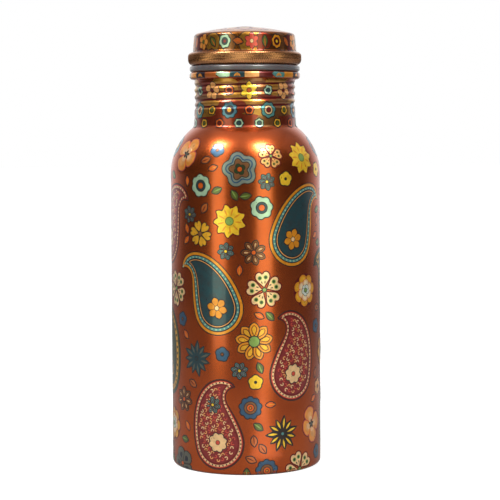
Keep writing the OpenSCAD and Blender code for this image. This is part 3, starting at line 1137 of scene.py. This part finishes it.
cap_print = Print("cap_print", cap_skin, "cap", "copper_cap")
CAP_PLACES, CAP_MIDDLE = 12, 29.6      # the middle of the side, along the skin from the dome's top
CAP_SIDE_RISE, DOME_PRINT_RISE = 0.25, 0.8


def stamp_cap(angle, art, turn=0.0, level=0):
    """Lays a drawing on the middle of the cap's side."""
    cap_print.lay(put(art, turn=turn), drawn_down(angle, CAP_MIDDLE), level, CAP_SIDE_RISE)


def cap_centre(art, level=0):
    """A drawing laid flat on the middle of the dome, the right way up from the front."""
    def onto(x, y):
        return math.atan2(x, -y), math.hypot(x, y)
    cap_print.lay(art, onto, level, DOME_PRINT_RISE)


cap_centre(bloom(20, 12, 0.44, "rose", belly=1.7, line=0.5, rib="amber", rib_size=0.55))
cap_centre(bloom(12.5, 8, 0.62, "teal", belly=1.7, line=0.4, rib="mint", rib_size=0.5), 6)
cap_centre(rose(6.5), 12)
CAP_GROUNDS = ("maroon", "bronze", "umber", "bronze", "garnet", "umber")
for offset in (0, 120, 240):
    for k, colour in enumerate(CAP_GROUNDS):
        patch = stack(blob(9.6, 9.4, 1.7 * k), ("black", 0), (colour, 0.45))
        stamp_cap(offset - 58 + 20 * k, patch)
CAP_FLOWERS = (bloom(4.0, 6, 0.6, "coral", line=0.35, eye=(("black", 0.28), ("cream", 0.22))),
               ringed(3.9, "amber", (("maroon", 0.52), ("yellow", 0.3)), lobes=7),
               bloom(4.0, 5, 0.74, "apricot", line=0.35, belly=1.7,
                     eye=(("black", 0.28), ("olive", 0.22))),
               ringed(3.9, "mint", (("petrol", 0.52), ("rose", 0.3)), lobes=6))
CAP_LEAVES = [put(leaf(6.0, 3.2, fill, "orange"), (0, -3.0)) for fill in ("olive", "russet")]
for k in range(CAP_PLACES):
    angle = 360 / CAP_PLACES * k + 8
    stamp_cap(angle, CAP_FLOWERS[k % 4], 20 * k, level=3)
    stamp_cap(angle + 15, CAP_LEAVES[k % 2], 40 * k, level=3)
cap_print.make()


# ---------------------------------------------------------------- the metal itself

body = turned_mesh("body", body_outline(), COPPER_BODY, neck_groove)
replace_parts(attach(body, "bottle"), "bottle_body")
washer = turned_mesh("washer", washer_outline(), SILICONE)
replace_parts(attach(washer, "seal"), "sealing_washer")
cup = turned_mesh("cup", cup_outline(), COPPER_BRIGHT, cup_groove)
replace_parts(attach(cup, "cap"), "cap_threaded_cup")
shell = turned_mesh("shell", shell_outline()[::-1], COPPER_CAP, knurled, RIM_COLUMNS)
shell.data.materials.append(COPPER_RIM)
for face in shell.data.polygons:
    x, y, z = face.center
    if z < (RIM_TOP_Z - 0.4) * MM:
        face.material_index = 1
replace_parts(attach(shell, "cap"), "cap_shell")


# ---------------------------------------------------------------- the studio

ROOM_FRONT, ROOM_BACK, ROOM_TOP, ROOM_FILL = 0.05, 1.15, 0.75, 0.40
PAPER_NEAR, PAPER_BEHIND, PAPER_REACH = 0.78, 0.8, 6.0
PAPER_SHADES = (0.30, 0.30, 0.30), (0.10, 0.10, 0.10)
STRIP_TINT = (0.91, 1.0, 0.74)
GLOW_AZIMUTH, GLOW_OUT, GLOW_HEIGHT = math.radians(22), 0.16, 0.003
CAMERA_SPOT, CAMERA_DROP, CAMERA_TURN = (0.0025, -0.829, 0.170), 4.3, 0.3
CAMERA_LENS, CAMERA_SENSOR = 118.4, 36.0


def light_box(name, spot, width, tall, power, tint=(1, 1, 1)):
    """A rectangle of light that the camera doesn't see."""
    light = bpy.data.lights.new(name, "AREA")
    light.shape, light.size, light.size_y = "RECTANGLE", width, tall
    light.energy, light.color = power, tint
    box = bpy.data.objects.new(name, light)
    box.location = spot
    box.visible_camera = False
    SCENE.collection.objects.link(box)
    return box


def softbox(name, azimuth, distance, height, width, tall, power, rise=0.0, tint=(1, 1, 1)):
    """A light box aimed at the bottle's axis. Azimuth 0 is the camera's side."""
    a = math.radians(azimuth)
    spot = Vector((distance * math.sin(a), -distance * math.cos(a), height))
    box = light_box(name, spot, width, tall, power, tint)
    box.rotation_euler = (Vector((0, 0, height - rise)) - spot).to_track_quat("-Z", "Y").to_euler()


softbox("strip_left", -38.6, 0.27, 0.345, 0.094, 0.63, 0.40, tint=STRIP_TINT)
softbox("strip_right", 27.2, 0.27, 0.33, 0.102, 0.64, 0.43, tint=STRIP_TINT)
softbox("hot_left", -58.0, 1.0, 1.38, 0.38, 0.40, 17.0, 1.22)
softbox("hot_right", 36.0, 1.0, 1.40, 0.44, 0.42, 20.0, 1.24)
softbox("side_left", -108.0, 1.2, 0.9, 1.0, 0.8, 0.7, 0.75)
softbox("side_right", 104.0, 1.2, 0.9, 1.0, 0.8, 0.8, 0.75)

# a narrow light that lies on the table and shines up
glow_spot = (GLOW_OUT * math.sin(GLOW_AZIMUTH), -GLOW_OUT * math.cos(GLOW_AZIMUTH), GLOW_HEIGHT)
light_box("table_glow", glow_spot, 0.045, 0.20, 0.028).rotation_euler = (math.pi, 0, GLOW_AZIMUTH)

floor_mesh = bpy.data.meshes.new("floor")
floor_mesh.from_pydata([(x * PAPER_REACH, y * PAPER_REACH, 0)
                        for x, y in ((-1, -1), (1, -1), (1, 1), (-1, 1))], [], [(0, 1, 2, 3)])
floor = bpy.data.objects.new("floor", floor_mesh)
SCENE.collection.objects.link(floor)
paper = Nodes("paper")
rays = paper.add("ShaderNodeLightPath").outputs
away = paper.add("ShaderNodeVectorMath", operation="LENGTH")
paper.link(paper.place(), away.inputs[0])
distance = away.outputs["Value"]
paper.feed("Base Color", paper.mixed(paper.spread(distance, 0, 1, 0.25, 0.7), *PAPER_SHADES))
shown = paper.maths("MULTIPLY", paper.spread(distance, PAPER_NEAR, 1.0, 0.12, 0.9),
                    rays["Is Camera Ray"])
behind = paper.spread(paper.axes()["Y"], 0.0, PAPER_BEHIND, 0.5, 2.0)
paper.feed("Emission Strength", paper.maths("MULTIPLY_ADD", behind, rays["Is Glossy Ray"], shown))
paper.set(Roughness=0.8, Emission_Color=(1, 1, 1, 1))
floor_mesh.materials.append(paper.owner)

# the room: bright behind the bottle and overhead, dark in front
studio = Nodes("studio", bpy.data.worlds, "Background")
SCENE.world = studio.owner
studio.set(Strength=1.0)
paths = studio.add("ShaderNodeLightPath").outputs
parts = studio.axes("Generated")
back_wall = studio.spread(parts["Y"], ROOM_FRONT, ROOM_BACK, 0.4, 0.95, "SMOOTHSTEP")
ceiling = studio.spread(parts["Z"], 0.0, ROOM_TOP, 0.6, 0.95, "SMOOTHSTEP")
seen = studio.maths("ADD", back_wall, ceiling)


def either(ray, value, otherwise):
    """The world is as bright as value for one kind of ray, and otherwise for the rest."""
    pick = studio.add("ShaderNodeMix")
    pick.inputs["B"].default_value = value
    studio.link(paths[ray], pick.inputs["Factor"])
    studio.link(otherwise, pick.inputs["A"])
    return pick.outputs["Result"]


studio.feed("Color", either("Is Camera Ray", 1.0, either("Is Diffuse Ray", ROOM_FILL, seen)))

lens = bpy.data.cameras.new("camera")
lens.lens, lens.sensor_width = CAMERA_LENS, CAMERA_SENSOR
camera = bpy.data.objects.new("camera", lens)
camera.location = CAMERA_SPOT
camera.rotation_euler = (math.radians(90 - CAMERA_DROP), math.radians(CAMERA_TURN), 0)
SCENE.collection.objects.link(camera)
SCENE.camera = camera
SCENE.view_settings.view_transform = "Standard"
